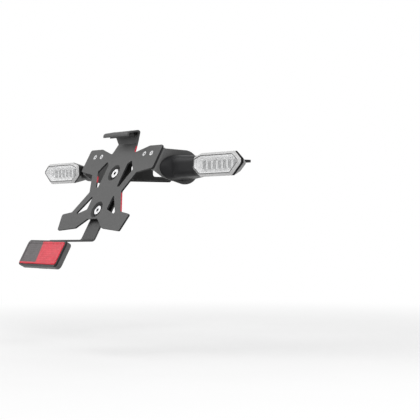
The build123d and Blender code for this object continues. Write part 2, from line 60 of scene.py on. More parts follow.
MM = 0.001
MERGE = 0.01 * MM
WHITE = (1, 1, 1, 1)
CORNER_SHARE = 0.45

# Edge finish of the CAD nodes: what counts as flat, what counts as an edge, and the melt of the rubber stems
FLAT_ANGLE = math.radians(0.4)
EDGE_ANGLE = math.radians(40)
STEM_VOXEL = 0.7 * MM
STEM_ROUNDS = 10

# Indicator covers: bevelled edge, the groove inside it and the flat pane
COVER_BEVEL = 2.6 * MM
GROOVE_FLANK = 0.45 * MM
GROOVE_DEPTH = 0.5 * MM
PANE_DROP = 0.1 * MM
PANE_INSET = COVER_BEVEL + 2 * GROOVE_FLANK

# Reflector bowl of the indicators, with ribs between and beyond the light sources
BOWL_INSET = 3.1 * MM
BOWL_FLOOR = 8.0 * MM
BOWL_ROWS = 48
BOWL_MARGIN = 0.001
END_COLUMNS = 60
WALL_RUN = 6.0 * MM
WALL_SHARE = 0.6
RIB_GAPS = 5
RIB_HALF = 0.8 * MM
RIB_FLANK = 0.8 * MM
RIB_HEIGHT = 4.0 * MM
RIB_FOOT = 0.4 * MM
RIB_REACH = 5.0 * MM
DISH_RISE = 1.2 * MM
DISH_LINE = 0.4
COLLAR_DROP = 0.7 * MM
COLLAR_RADIUS = 1.2 * MM

# Reflector lens: its border, the sunk bed of prisms and the fields, the left one a painted reflection
BORDER = 2.4 * MM
PRISM_DROP = 0.45 * MM
PRISM_PITCH = 2.6 * MM
PRISM_SINK = 0.02 * MM
PRISM_HEIGHT = 0.12 * MM
FIELD_LEAN = 3 * MM
FIELD_EDGE = (-6.2 * MM, -4.0 * MM)
FOOT_EDGE = (1.7 * MM, 2.2 * MM)
CASE_EDGE = (-2.0 * MM, -1.4 * MM)

# Lamp screws, which lean with the visor
SCREW_TILT = math.radians(10)
SCREW_HEAD = 2.8 * MM
SCREW_SHANK = 1.5 * MM
SCREW_LENGTH = 5.6 * MM
SCREW_HEAD_HEIGHT = 0.4 * MM
SCREW_SOCKET_FLOOR = 0.05 * MM

# Painted shade on the holder's cut edges, and painted red light of the tail lamp on some of them: spans up its
# face from the upper screw, and limits out from its middle
CUT_FACING = (0.35, 0.8)
SIDE_FACING = (0.65, 0.8)
EDGES_TOP = (34.5 * MM, 36 * MM)
LEG_SPAN = (-51 * MM, -28 * MM)
LEG_SLOPE = 0.716
LEG_OUTER = (11 * MM, 12 * MM)
WINDOW_SPAN = (-10.5 * MM, -4.5 * MM)
WINDOW_SLOPE = 0.56
WINDOW_OUTER = (34.5 * MM, 41 * MM)
NECK_SPAN = (27.5 * MM, 40 * MM)
NECK_INNER = (26 * MM, 28 * MM)
SPAN_FADE = 2 * MM
SIDE_FADE = 1 * MM
# Painted shade for the cut edges, and painted red light of the tail lamp for the edges it reaches
EDGE_SHADE = (0.010, 0.010, 0.011, 1)
EDGE_LAMP_LIGHT = (0.50, 0.020, 0.040, 1)

# Floor, lights with their place, target, size and power, and the camera solved from the photo
FLOOR_SIZE = 30.0
FLOOR_LEVEL = -0.22
FLOOR_FADE = (0.3, 0.9)
FLOOR_WHITE = 0.25
LIGHTS = {
    "key": ((-0.55, -0.75, 0.5), (-0.03, -0.12, 0), 0.8, 5.2),
    "side": ((1.5, -0.4, 0.9), (0, -0.1, 0), 1.0, 18),
    "back": ((-0.3, 1.4, 1.1), (0, -0.1, 0), 1.2, 8),
}
FILL_STRENGTH = 0.5
CAMERA_PLACE = (1.3251, -0.95092, -0.07621)
CAMERA_TURN = math.radians(54.408)
CAMERA_PITCH = math.radians(0.550)
CAMERA_SENSOR = 36.0
CAMERA_LENS = 114.13
CAMERA_CLIP = (0.05, 60)

# The holder's sloping face, from the record's mount on it: its directions, and the upper screw's place on it
face_mount = next(m for m in frame["record"]["mounts"] if m["name"] == "number_plate_face")
RIGHT = Vector((1, 0, 0))
OUT = Vector(face_mount["axis"]).normalized()
UP = OUT.cross(RIGHT)
spacer_low, spacer_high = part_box("upper_spacer")
spacer_middle = (spacer_low + spacer_high) / 2
UPPER_SCREW = spacer_middle + OUT * OUT.dot(Vector(face_mount["pos_m"]) - spacer_middle)


class Panel:
    """A flat node parallel to the holder's face: its middle, width, height up the face and thickness."""

    def __init__(self, node):
        low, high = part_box(node)
        # each side of the box is a share of the height and a share of the thickness of the leaning panel
        deep, tall = high.y - low.y, high.z - low.z
        turn = UP.z ** 2 - UP.y ** 2
        self.middle = (low + high) / 2
        self.width = high.x - low.x
        self.height = (tall * UP.z - deep * UP.y) / turn
        self.thick = (deep * UP.z - tall * UP.y) / turn

    def point(self, p, rise):
        """Place of a point across and up the panel, at a rise from its back."""
        return self.middle + RIGHT * p.x + UP * p.y + OUT * (rise - self.thick / 2)

    def corners(self):
        """Corners clockwise from the lower left."""
        x, y = self.width / 2, self.height / 2
        return [Vector((-x, -y)), Vector((-x, y)), Vector((x, y)), Vector((x, -y))]


reflector = Panel("reflector_lens")


# Small helpers for node materials
def new_material(name):
    """Material with its node tree and main shader."""
    mat = bpy.data.materials.new(name)
    mat.use_nodes = True
    tree = mat.node_tree
    return mat, tree, tree.nodes["Principled BSDF"]


def feed(tree, socket, value):
    """Link a socket, or set the value on it."""
    if isinstance(value, bpy.types.NodeSocket):
        tree.links.new(value, socket)
    else:
        socket.default_value = value


def coords(tree):
    """Place on the part, in metres of its frame."""
    return tree.nodes.new("ShaderNodeTexCoord").outputs["Object"]


def noise(tree, scale, detail=3.0, roughness=0.55):
    node = tree.nodes.new("ShaderNodeTexNoise")
    node.inputs["Scale"].default_value = scale
    node.inputs["Detail"].default_value = detail
    node.inputs["Roughness"].default_value = roughness
    tree.links.new(coords(tree), node.inputs["Vector"])
    return node.outputs["Fac"]


def ramp(tree, value, stops):
    node = tree.nodes.new("ShaderNodeValToRGB")
    elements = node.color_ramp.elements
    while len(elements) < len(stops):
        elements.new(0.5)
    for element, (place, colour) in zip(elements, stops):
        element.position = place
        element.color = (*colour, 1)
    tree.links.new(value, node.inputs["Fac"])
    return node.outputs["Color"]


def grey(tone):
    return (tone, tone, tone)


def spread(tree, value, low, high, start=0.0, end=1.0, smooth=False):
    """Value between start and end, spread over low to high."""
    node = tree.nodes.new("ShaderNodeMapRange")
    node.interpolation_type = "SMOOTHSTEP" if smooth else "LINEAR"
    node.inputs["From Min"].default_value = start
    node.inputs["From Max"].default_value = end
    node.inputs["To Min"].default_value = low
    node.inputs["To Max"].default_value = high
    tree.links.new(value, node.inputs["Value"])
    return node.outputs["Result"]


def mix(tree, factor, one, two, blend="MIX"):
    node = tree.nodes.new("ShaderNodeMix")
    node.data_type = "RGBA"
    node.blend_type = blend
    feed(tree, node.inputs[0], factor)
    feed(tree, node.inputs[6], one)
    feed(tree, node.inputs[7], two)
    return node.outputs[2]


def maths(tree, operation, one, two=0.0):
    node = tree.nodes.new("ShaderNodeMath")
    node.operation = operation
    feed(tree, node.inputs[0], one)
    feed(tree, node.inputs[1], two)
    return node.outputs[0]


def along(tree, vector, direction):
    """Length of a vector along a direction."""
    node = tree.nodes.new("ShaderNodeVectorMath")
    node.operation = "DOT_PRODUCT"
    feed(tree, node.inputs[0], vector)
    node.inputs[1].default_value = direction
    return node.outputs["Value"]


def band(tree, value, limits, fade):
    """One between two limits, fading to zero outside them."""
    low, high = limits
    rise = spread(tree, value, 0, 1, low - fade, low)
    fall = spread(tree, value, 1, 0, high, high + fade)
    return maths(tree, "MULTIPLY", rise, fall)


def painted_hollow_shade(tree, reach, floor):
    """Multiplier of painted shade, which falls to the floor value in hollows up to a reach across."""
    node = tree.nodes.new("ShaderNodeAmbientOcclusion")
    node.inputs["Distance"].default_value = reach
    return ramp(tree, node.outputs["AO"], [(0.35, grey(floor)), (0.9, grey(1.0))])


def bump(tree, shader, height, strength, distance):
    node = tree.nodes.new("ShaderNodeBump")
    node.inputs["Strength"].default_value = strength
    node.inputs["Distance"].default_value = distance
    tree.links.new(height, node.inputs["Height"])
    tree.links.new(node.outputs["Normal"], shader.inputs["Normal"])


# Finishes
def powder_coat(name, tone, reach, edges=None):
    """Satin powder coat with its fine orange peel, and painted shade in hollows.

    edges gives a mask and a colour for cut edges, painted shade and painted light on them.
    """
    mat, tree, shader = new_material(name)
    cloud = noise(tree, 38, 4)
    fleck = ramp(tree, noise(tree, 5200, 1), [(0.35, grey(0.8)), (0.72, grey(1.2))])
    base = ramp(tree, cloud, [(0.3, grey(tone * 0.9)), (0.7, grey(tone * 1.08))])
    colour = mix(tree, 1.0, base, fleck, "MULTIPLY")
    # painted shade in hollows and corners
    colour = mix(tree, 1.0, colour, painted_hollow_shade(tree, reach, 0.3), "MULTIPLY")
    if edges:
        mask, tint = edges(tree)
        colour = mix(tree, mask, colour, tint)
    tree.links.new(colour, shader.inputs["Base Color"])
    tree.links.new(spread(tree, cloud, 0.44, 0.56), shader.inputs["Roughness"])
    shader.inputs["Specular IOR Level"].default_value = 0.22
    bump(tree, shader, noise(tree, 1500, 2, 0.7), strength=0.3, distance=0.1 * MM)
    return mat


def holder_edge_shade_and_light(tree):
    """Cut edges of the X: painted shade, nearly black, with painted red light of the tail lamp on the legs, the
    neck and the windows' outer walls.
    """
    normal = tree.nodes.new("ShaderNodeNewGeometry").outputs["True Normal"]
    place = coords(tree)
    side = maths(tree, "ABSOLUTE", along(tree, place, RIGHT))
    up = maths(tree, "SUBTRACT", along(tree, place, UP), UPPER_SCREW.dot(UP))
    facing = maths(tree, "ABSOLUTE", along(tree, normal, OUT))
    cut = spread(tree, facing, 1, 0, *CUT_FACING, smooth=True)
    mask = maths(tree, "MULTIPLY", cut, spread(tree, up, 1, 0, *EDGES_TOP))
    sideways = maths(tree, "ABSOLUTE", along(tree, normal, RIGHT))
    upright = spread(tree, sideways, 0, 1, *SIDE_FACING)
    # the legs' outer edges run along a slope, so a sum of side and up tells them from the windows inside
    lean = maths(tree, "ADD", side, maths(tree, "MULTIPLY", up, LEG_SLOPE))
    outer = spread(tree, lean, 0, 1, *LEG_OUTER)
    leg = maths(tree, "MULTIPLY", band(tree, up, LEG_SPAN, SPAN_FADE), outer)
    # the upper windows' outer walls lean the other way, inside the waist's own edge
    lean = maths(tree, "SUBTRACT", side, maths(tree, "MULTIPLY", up, WINDOW_SLOPE))
    outer = band(tree, lean, WINDOW_OUTER, SIDE_FADE)
    wall = maths(tree, "MULTIPLY", band(tree, up, WINDOW_SPAN, SPAN_FADE), outer)
    inner = spread(tree, side, 1, 0, *NECK_INNER)
    neck = maths(tree, "MULTIPLY", band(tree, up, NECK_SPAN, SPAN_FADE), inner)
    # painted red light of the tail lamp, on the upright edges inside these spans
    painted_red_light = maths(tree, "MAXIMUM", maths(tree, "MAXIMUM", leg, neck), wall)
    painted_red_light = maths(tree, "MULTIPLY", upright, painted_red_light)
    return mask, mix(tree, painted_red_light, EDGE_SHADE, EDGE_LAMP_LIGHT)


def rubber(name):
    mat, tree, shader = new_material(name)
    cloud = noise(tree, 60, 4)
    colour = ramp(tree, cloud, [(0.3, (0.006, 0.006, 0.007)), (0.7, (0.012, 0.012, 0.013))])
    tree.links.new(colour, shader.inputs["Base Color"])
    tree.links.new(spread(tree, cloud, 0.38, 0.52), shader.inputs["Roughness"])
    shader.inputs["Specular IOR Level"].default_value = 0.2
    bump(tree, shader, noise(tree, 2600, 2), strength=0.25, distance=0.1 * MM)
    return mat


def moulded_plastic(name, tone, rough):
    mat, tree, shader = new_material(name)
    cloud = noise(tree, 45, 3)
    colour = ramp(tree, cloud, [(0.3, grey(tone * 0.8)), (0.7, grey(tone * 1.2))])
    tree.links.new(colour, shader.inputs["Base Color"])
    tree.links.new(spread(tree, cloud, rough - 0.06, rough + 0.08), shader.inputs["Roughness"])
    shader.inputs["Specular IOR Level"].default_value = 0.3
    bump(tree, shader, noise(tree, 3300, 2), strength=0.2, distance=0.08 * MM)
    return mat


def bright_metal(name, dull, bright, rough, reach):
    """Plated metal, with painted shade in its hollows up to a reach across."""
    mat, tree, shader = new_material(name)
    cloud = noise(tree, 220, 4)
    colour = ramp(tree, cloud, [(0.3, dull), (0.7, bright)])
    # painted shade in sockets and round heads
    shade_in_hollows = painted_hollow_shade(tree, reach, 0.03)
    tree.links.new(mix(tree, 1.0, colour, shade_in_hollows, "MULTIPLY"), shader.inputs["Base Color"])
    shader.inputs["Metallic"].default_value = 1.0
    tree.links.new(spread(tree, cloud, rough - 0.08, rough + 0.08), shader.inputs["Roughness"])
    bump(tree, shader, noise(tree, 2600, 3), strength=0.15, distance=0.05 * MM)
    return mat


def silvered(name, tone, metallic):
    """Metallised plastic of the reflector bowl."""
    mat, tree, shader = new_material(name)
    cloud = noise(tree, 300, 2)
    colour = ramp(tree, cloud, [(0.3, grey(tone * 0.92)), (0.7, grey(min(1.0, tone * 1.06)))])
    tree.links.new(colour, shader.inputs["Base Color"])
    shader.inputs["Metallic"].default_value = metallic
    tree.links.new(spread(tree, cloud, 0.18, 0.3), shader.inputs["Roughness"])
    return mat


def clear_front(name):
    """Clear cover: a transparent sheet with a glossy face and a little haze."""
    mat, tree, shader = new_material(name)
    haze = ramp(tree, noise(tree, 260, 3), [(0.3, (0.86, 0.87, 0.88)), (0.7, (0.96, 0.97, 0.98))])
    tree.links.new(haze, shader.inputs["Base Color"])
    tree.links.new(spread(tree, noise(tree, 150, 2), 0.03, 0.08), shader.inputs["Roughness"])
    shader.inputs["Alpha"].default_value = 0.28
    return mat


def highlight_rim(name):
    """Thick bevelled edge of the cover, painted light grey: a painted highlight for the light its bevel
    gathers.
    """
    mat, tree, shader = new_material(name)
    cloud = noise(tree, 320, 3)
    colour = ramp(tree, cloud, [(0.3, grey(0.54)), (0.7, grey(0.64))])
    tree.links.new(colour, shader.inputs["Base Color"])
    tree.links.new(spread(tree, cloud, 0.12, 0.25), shader.inputs["Roughness"])
    shader.inputs["Alpha"].default_value = 0.85
    return mat


def red_reflector(name):
    """Red lens with a dark left field, a painted reflection of prisms that look dark from one side, and a
    bright right field with red along its lower edge.
    """
    mat, tree, shader = new_material(name)
    place = coords(tree)
    up = maths(tree, "SUBTRACT", along(tree, place, UP), reflector.middle.dot(UP))
    # the line between the fields leans from top to bottom
    slope = maths(tree, "MULTIPLY", up, FIELD_LEAN / reflector.height)
    lean = maths(tree, "ADD", along(tree, place, RIGHT), slope)
    field = spread(tree, lean, 0, 1, *FIELD_EDGE, smooth=True)
    foot = [edge - reflector.height / 2 for edge in FOOT_EDGE]
    field = maths(tree, "MAXIMUM", field, spread(tree, up, 1, 0, *foot))
    cloud = noise(tree, 160, 3)
    # painted reflection: the dark look of the left field's prisms
    dark = ramp(tree, cloud, [(0.3, (0.058, 0.050, 0.052)), (0.7, (0.085, 0.074, 0.077))])
    red = ramp(tree, cloud, [(0.3, (0.50, 0.014, 0.032)), (0.7, (0.66, 0.024, 0.050))])
    tree.links.new(mix(tree, field, dark, red), shader.inputs["Base Color"])
    tree.links.new(spread(tree, noise(tree, 90, 2), 0.28, 0.4), shader.inputs["Roughness"])
    shader.inputs["Specular IOR Level"].default_value = 0.2
    return mat


def reflector_case(name):
    """Dark grey moulded case, black along its front edge round the lens."""
    mat, tree, shader = new_material(name)
    front = maths(tree, "SUBTRACT", along(tree, coords(tree), OUT), reflector.middle.dot(OUT))
    cloud = noise(tree, 45, 3)
    case = ramp(tree, cloud, [(0.3, grey(0.075)), (0.7, grey(0.10))])
    edge = spread(tree, front, 0, 1, *CASE_EDGE, smooth=True)
    tree.links.new(mix(tree, edge, case, (0.008, 0.008, 0.009, 1)), shader.inputs["Base Color"])
    tree.links.new(spread(tree, cloud, 0.4, 0.52), shader.inputs["Roughness"])
    shader.inputs["Specular IOR Level"].default_value = 0.25
    bump(tree, shader, noise(tree, 3300, 2), strength=0.2, distance=0.08 * MM)
    return mat


def circuit_board(name):
    mat, tree, shader = new_material(name)
    cloud = noise(tree, 400, 3)
    colour = ramp(tree, cloud, [(0.35, (0.74, 0.74, 0.70)), (0.65, (0.86, 0.85, 0.80))])
    tree.links.new(colour, shader.inputs["Base Color"])
    tree.links.new(spread(tree, cloud, 0.35, 0.5), shader.inputs["Roughness"])
    return mat


# Finish of each slot of the record, and of the nodes that need one of their own
finishes = {
    "black_coat": powder_coat("black_powder_coat", 0.100, 35 * MM),
    "bright_steel": bright_metal("bright_zinc_steel", (0.38, 0.38, 0.39), (0.54, 0.54, 0.54), 0.36, 5 * MM),
    "black_rubber": rubber("black_rubber"),
    "black_plastic": moulded_plastic("black_moulded_plastic", 0.015, 0.38),
    "silver_reflector": silvered("silvered_reflector", 0.94, 0.1),
    "circuit_board": circuit_board("white_circuit_board"),
    "clear_lens": clear_front("clear_lens"),
    "red_lens": red_reflector("red_reflector_lens"),
}
# The holder, arm and strip take copies of the black coat at tones set for the light each gets, a painted shade
# that is deepest on the arm
special = {
    "plate_holder": powder_coat("holder_powder_coat", 0.066, 6 * MM, holder_edge_shade_and_light),
    "main_bracket": powder_coat("arm_powder_coat_painted_shade", 0.012, 20 * MM),
    "reflector_bracket": powder_coat("strip_powder_coat", 0.056, 35 * MM),
    "bracket_rivets": bright_metal("bare_aluminium", (0.30, 0.30, 0.31), (0.44, 0.44, 0.44), 0.42, 2 * MM),
    "reflector_housing": reflector_case("reflector_case"),
}
# the cover's edge takes a painted highlight and its groove a painted shade
rim_highlight_finish = highlight_rim("lens_edge_painted_highlight")
groove_shade_finish = moulded_plastic("lens_groove_painted_shade", 0.11, 0.5)
rib_finish = silvered("bright_rib", 0.95, 0.1)
# painted shade on the ribs' flanks and feet
shade_finish = silvered("rib_foot_painted_shade", 0.46, 0.2)

for part in frame["record"]["subparts"]:
    node = nodes[part["node"]]
    node.data.materials.clear()
    node.data.materials.append(special.get(part["node"], finishes[part["material_slot"]]))


# Edge finish of the CAD nodes: broken edges on hard pieces, moulded softness on rubber
def soften(node, width):
    """Small rounded edges on a hard piece."""
    obj = nodes[node]
    weld = obj.modifiers.new("weld", "WELD")
    weld.merge_threshold = MERGE
    flat = obj.modifiers.new("flat_faces", "DECIMATE")
    flat.decimate_type = "DISSOLVE"
    flat.angle_limit = FLAT_ANGLE
    edge = obj.modifiers.new("broken_edges", "BEVEL")
    edge.width = width
    edge.segments = 2
    edge.limit_method = "ANGLE"
    edge.angle_limit = EDGE_ANGLE
    for face in obj.data.polygons:
        face.use_smooth = True
    normals = obj.modifiers.new("face_normals", "WEIGHTED_NORMAL")
    normals.keep_sharp = True


def mould(node, voxel, rounds):
    """Melt the joins of a rubber piece into one smooth moulding."""
    obj = nodes[node]
    remesh = obj.modifiers.new("moulding", "REMESH")
    remesh.mode = "VOXEL"
    remesh.voxel_size = voxel
    remesh.use_smooth_shade = True
    smooth = obj.modifiers.new("soft_joins", "SMOOTH")
    smooth.factor = 0.5
    smooth.iterations = rounds


edge_widths = {
    "plate_holder": 0.3 * MM,
    "main_bracket": 0.3 * MM,
    "reflector_bracket": 0.3 * MM,
    "left_indicator_bracket": 0.3 * MM,
    "right_indicator_bracket": 0.3 * MM,
    "reflector_housing": 0.5 * MM,
    "plate_lamp_body": 0.5 * MM,
    "left_indicator_housing": 0.5 * MM,
    "right_indicator_housing": 0.5 * MM,
    "holder_screws": 0.2 * MM,
    "holder_nuts": 0.2 * MM,
    "reflector_nut": 0.2 * MM,
    "left_indicator_nut": 0.2 * MM,
    "right_indicator_nut": 0.2 * MM,
    "bracket_rivets": 0.15 * MM,
}
for name, width in edge_widths.items():
    soften(name, width)
for side in ("left", "right"):
    mould(f"{side}_indicator_stem", STEM_VOXEL, STEM_ROUNDS)


# Helpers for the pieces built here
def inset(points, distance):
    """Convex outline moved inwards by a distance, corner for corner."""
    count = len(points)
    lines = []
    for k in range(count):
        a, b = points[k], points[(k + 1) % count]
        along_edge = (b - a).normalized()
        inward = Vector((along_edge.y, -along_edge.x))
        lines.append((a + inward * distance, along_edge))
    moved = []
    for k in range(count):
        (p, d), (q, e) = lines[k - 1], lines[k]
        t = ((q - p).x * e.y - (q - p).y * e.x) / (d.x * e.y - d.y * e.x)
        moved.append(p + d * t)
    return moved


def rounded(points, radius, steps=4):
    """Outline with each corner replaced by a short curve, which takes less than half of an edge."""
    out = []
    count = len(points)
    for k in range(count):
        before, corner, after = points[k - 1], points[k], points[(k + 1) % count]
        reach = min(radius, (before - corner).length * CORNER_SHARE, (after - corner).length * CORNER_SHARE)
        start = corner + (before - corner).normalized() * reach
        end = corner + (after - corner).normalized() * reach
        for step in range(steps + 1):
            t = step / steps
            out.append(start * (1 - t) ** 2 + corner * 2 * t * (1 - t) + end * t ** 2)
    return out


def bridge(bm, one, two, material):
    """Band of faces between two rings with the same number of points."""
    count = len(one)
    for k in range(count):
        face = bm.faces.new((one[k], one[(k + 1) % count], two[(k + 1) % count], two[k]))
        face.material_index = material


def make_piece(name, bm, materials, node, sharp=32):
    """Object from a mesh, shaded smooth below an angle in degrees, in place of a CAD node."""
    bmesh.ops.recalc_face_normals(bm, faces=bm.faces[:])
    mesh = bpy.data.meshes.new(name)
    bm.to_mesh(mesh)
    bm.free()
    for material in materials:
        mesh.materials.append(material)
    for face in mesh.polygons:
        face.use_smooth = True
    mesh.set_sharp_from_angle(angle=math.radians(sharp))
    obj = bpy.data.objects.new(name, mesh)
    scene.collection.objects.link(obj)
    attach(obj, "root")
    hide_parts(node)


# Finishes on a cover: its bevelled edge with a painted highlight, pane, groove darkened with painted shade, and
# the dark case round its wall
RIM, PANE, GROOVE, CASE = range(4)
# Finishes in a bowl: the silvered dish, the bright ribs, and their flanks darkened with painted shade
SILVER, RIB, FLANK = range(3)

# Corners of the cover as shares of its length and half height, clockwise from the inner end
COVER_CORNERS = [
    (0.0, -0.3),
    (0.02, 0.7),
    (0.18, 1.0),
    (0.855, 1.0),
    (0.975, 0.34),
    (0.975, 0.0),
    (0.795, -1.0),
    (0.15, -1.0),
]


class Cover:
    """Outline of one indicator's cover, taken from its CAD node's box."""

    def __init__(self, side):
        low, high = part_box(f"{side}_indicator_lens")
        self.sign = 1 if side == "right" else -1
        self.inner = low.x if self.sign > 0 else high.x
        self.length = high.x - low.x
        self.half = (high.z - low.z) / 2
        self.middle = (high.z + low.z) / 2
        self.rim = high.y
        self.height = high.y - low.y
        self.corners = [Vector((u * self.length, v * self.half)) for u, v in COVER_CORNERS]

    def point(self, p, rise):
        """Place of an outline point at a rise in front of the rim."""
        return Vector((self.inner + self.sign * p.x, self.rim - rise, self.middle + p.y))

    def ring(self, bm, distance, rise, radius):
        """Ring of points a distance inside the outline, with rounded corners."""
        outline = rounded(inset(self.corners, distance), radius)
        return [bm.verts.new(self.point(p, rise)) for p in outline]


def cover_piece(side):
    """Clear cover with a thick bevelled edge, a fine groove and a flat pane."""
    cover = Cover(side)
    top = cover.height
    bm = bmesh.new()
    # distance inside the outline, rise, corner radius, and finish of the band that ends there
    steps = [
        (0.0, 0.0, 1.8 * MM, CASE),
        (0.0, top - COVER_BEVEL, 1.8 * MM, CASE),
        (0.35 * MM, top - COVER_BEVEL + 0.6 * MM, 1.6 * MM, RIM),
        (COVER_BEVEL - 0.5 * MM, top - 0.25 * MM, 1.4 * MM, RIM),
        (COVER_BEVEL, top, 1.4 * MM, RIM),
        (COVER_BEVEL + GROOVE_FLANK, top - GROOVE_DEPTH, 1.2 * MM, GROOVE),
        (PANE_INSET, top - PANE_DROP, 1.2 * MM, GROOVE),
    ]
    rings = [cover.ring(bm, distance, rise, radius) for distance, rise, radius, _ in steps]
    for k in range(len(rings) - 1):
        bridge(bm, rings[k], rings[k + 1], steps[k + 1][3])
    front = bm.faces.new(rings[-1])
    front.material_index = PANE
    materials = [rim_highlight_finish, finishes["clear_lens"], groove_shade_finish, finishes["black_plastic"]]
    make_piece(f"{side}_indicator_cover", bm, materials, f"{side}_indicator_lens")


def bowl_piece(side):
    """Silvered bowl behind the cover: sloping walls, upright ribs with a shallow dish between, and a collar."""
    cover = Cover(side)
    board_low, board_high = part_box(f"{side}_indicator_board")
    first, last = sorted((corner.x - cover.inner) * cover.sign for corner in (board_low, board_high))
    pitch = (last - first) / RIB_GAPS
    outline = inset(cover.corners, BOWL_INSET)
    left, right = min(p.x for p in outline), max(p.x for p in outline)
    bottom, top = min(p.y for p in outline), max(p.y for p in outline)

    def span(height):
        """Inner and outer end of the outline at a height."""
        ends = []
        for k in range(len(outline)):
            a, b = outline[k - 1], outline[k]
            if (a.y - height) * (b.y - height) <= 0 and a.y != b.y:
                ends.append(a.x + (b.x - a.x) * (height - a.y) / (b.y - a.y))
        return min(ends), max(ends)

    def from_rib(x):
        """Distance to the nearest rib."""
        share = ((x - first) / pitch) % 1.0
        return min(share, 1 - share) * pitch

    def depth(x, y, edge):
        """Depth below the rim at a point, with its distance from the bowl's edge."""
        wall = min(1.0, edge / WALL_RUN)
        wall = wall * wall * (3 - 2 * wall)
        gap = from_rib(x)
        rib = max(0.0, min(1.0, (RIB_HALF + RIB_FLANK - gap) / RIB_FLANK))
        dish = (1 - 2 * gap / pitch) ** 2
        fade = max(0.0, min(1.0, (RIB_REACH - abs(y)) / RIB_FLANK))
        return wall * (BOWL_FLOOR - fade * (RIB_HEIGHT * rib + DISH_RISE * dish * (1 - rib)))

    def finish(x, y, edge):
        """Finish at a point: bright on a rib, painted shade on its flanks and foot, silvered elsewhere."""
        gap = from_rib(x)
        far = gap > RIB_HALF + RIB_FLANK + RIB_FOOT
        if edge < WALL_SHARE * WALL_RUN or abs(y) > RIB_REACH or far:
            return SILVER
        return RIB if gap < RIB_HALF else FLANK

    # columns follow the ribs' own lines, so that each rib has clean edges
    lines = [0, RIB_HALF, RIB_HALF + RIB_FLANK, RIB_HALF + RIB_FLANK + RIB_FOOT, DISH_LINE * pitch]
    lines += [pitch - line for line in lines[1:]]
    ribs = range(math.floor((left - first) / pitch), math.ceil((right - first) / pitch))
    columns = [first + pitch * k + line for k in ribs for line in sorted(lines)]
    ends = [left + (right - left) * k / END_COLUMNS for k in range(END_COLUMNS + 1)]
    columns = sorted(columns + [x for x in ends if x < first or x > last])
    bm = bmesh.new()
    grid = []
    for row in range(BOWL_ROWS + 1):
        share = BOWL_MARGIN + (1 - 2 * BOWL_MARGIN) * row / BOWL_ROWS
        y = bottom + (top - bottom) * share
        start, end = span(y)
        line = []
        for column in [start] + columns + [end]:
            x = min(max(column, start), end)
            edge = min(x - start, end - x, y - bottom, top - y)
            vert = bm.verts.new(cover.point(Vector((x, y)), -depth(x, y, edge)))
            line.append((vert, (x, y, edge)))
        grid.append(line)
    for low, high in zip(grid, grid[1:]):
        for k in range(len(low) - 1):
            corners = (low[k], low[k + 1], high[k + 1], high[k])
            face = bm.faces.new([vert for vert, _ in corners])
            face.material_index = finish(*[sum(place[i] for _, place in corners) / 4 for i in range(3)])
    bmesh.ops.remove_doubles(bm, verts=bm.verts[:], dist=MERGE)
    bmesh.ops.dissolve_degenerate(bm, edges=bm.edges[:], dist=MERGE)
    # upright collar from the bowl's edge to the back of the pane
    collar_foot = cover.ring(bm, BOWL_INSET, 0, COLLAR_RADIUS)
    collar_top = cover.ring(bm, PANE_INSET, cover.height - COLLAR_DROP, COLLAR_RADIUS)
    bridge(bm, collar_foot, collar_top, SILVER)
    materials = [finishes["silver_reflector"], rib_finish, shade_finish]
    make_piece(f"{side}_indicator_bowl", bm, materials, f"{side}_indicator_tray")


def prism(bm, panel, x, y, size, base, top):
    """Low closed pyramid on a panel."""
    h = size / 2
    corners = [Vector((x - h, y - h)), Vector((x + h, y - h)), Vector((x + h, y + h)), Vector((x - h, y + h))]
    foot = [bm.verts.new(panel.point(p, base)) for p in corners]
    tip = bm.verts.new(panel.point(Vector((x, y)), top))
    bm.faces.new(reversed(foot))
    for k in range(4):
        bm.faces.new((foot[k], foot[(k + 1) % 4], tip))


def reflector_piece():
    """Red reflector lens: a bevelled border round a sunk bed of low prisms."""
    bm = bmesh.new()
    top = reflector.thick
    bed = top - PRISM_DROP
    # distance inside the outline, rise and corner radius
    steps = [
        (0.0, 0.0, 3.0 * MM),
        (0.0, top - 0.7 * MM, 3.0 * MM),
        (0.2 * MM, top - 0.2 * MM, 2.8 * MM),
        (0.7 * MM, top, 2.4 * MM),
        (BORDER - 0.2 * MM, top, 1.2 * MM),
        (BORDER, bed, 1.0 * MM),
    ]
    rings = []
    for distance, rise, radius in steps:
        outline = rounded(inset(reflector.corners(), distance), radius)
        rings.append([bm.verts.new(reflector.point(p, rise)) for p in outline])
    for one, two in zip(rings, rings[1:]):
        bridge(bm, one, two, 0)
    bm.faces.new(rings[0])
    bm.faces.new(rings[-1])
    columns = int((reflector.width - 2 * BORDER) / PRISM_PITCH)
    rows = int((reflector.height - 2 * BORDER) / PRISM_PITCH)
    for row in range(rows):
        for column in range(columns):
            x = (column - (columns - 1) / 2) * PRISM_PITCH
            y = (row - (rows - 1) / 2) * PRISM_PITCH
            prism(bm, reflector, x, y, PRISM_PITCH, bed - PRISM_SINK, bed + PRISM_HEIGHT)
    make_piece("reflector_red_lens", bm, [finishes["red_lens"]], "reflector_lens", sharp=5)


def lathe(bm, profile, foot, axis, steps=28):
    """Turned shape: a profile of radius and height pairs, from axis to axis, about a line from a foot."""
    across = axis.orthogonal().normalized()
    third = axis.cross(across)
    turns = [2 * math.pi * k / steps for k in range(steps)]
    spokes = [across * math.cos(turn) + third * math.sin(turn) for turn in turns]
    rings = []
    for radius, height in profile:
        middle = foot + axis * height
        if radius == 0:
            rings.append([bm.verts.new(middle)])
        else:
            rings.append([bm.verts.new(middle + spoke * radius) for spoke in spokes])
    for one, two in zip(rings, rings[1:]):
        for k in range(steps):
            low = [one[k % len(one)], one[(k + 1) % len(one)]]
            high = [two[(k + 1) % len(two)], two[k % len(two)]]
            bm.faces.new(list(dict.fromkeys(low + high)))


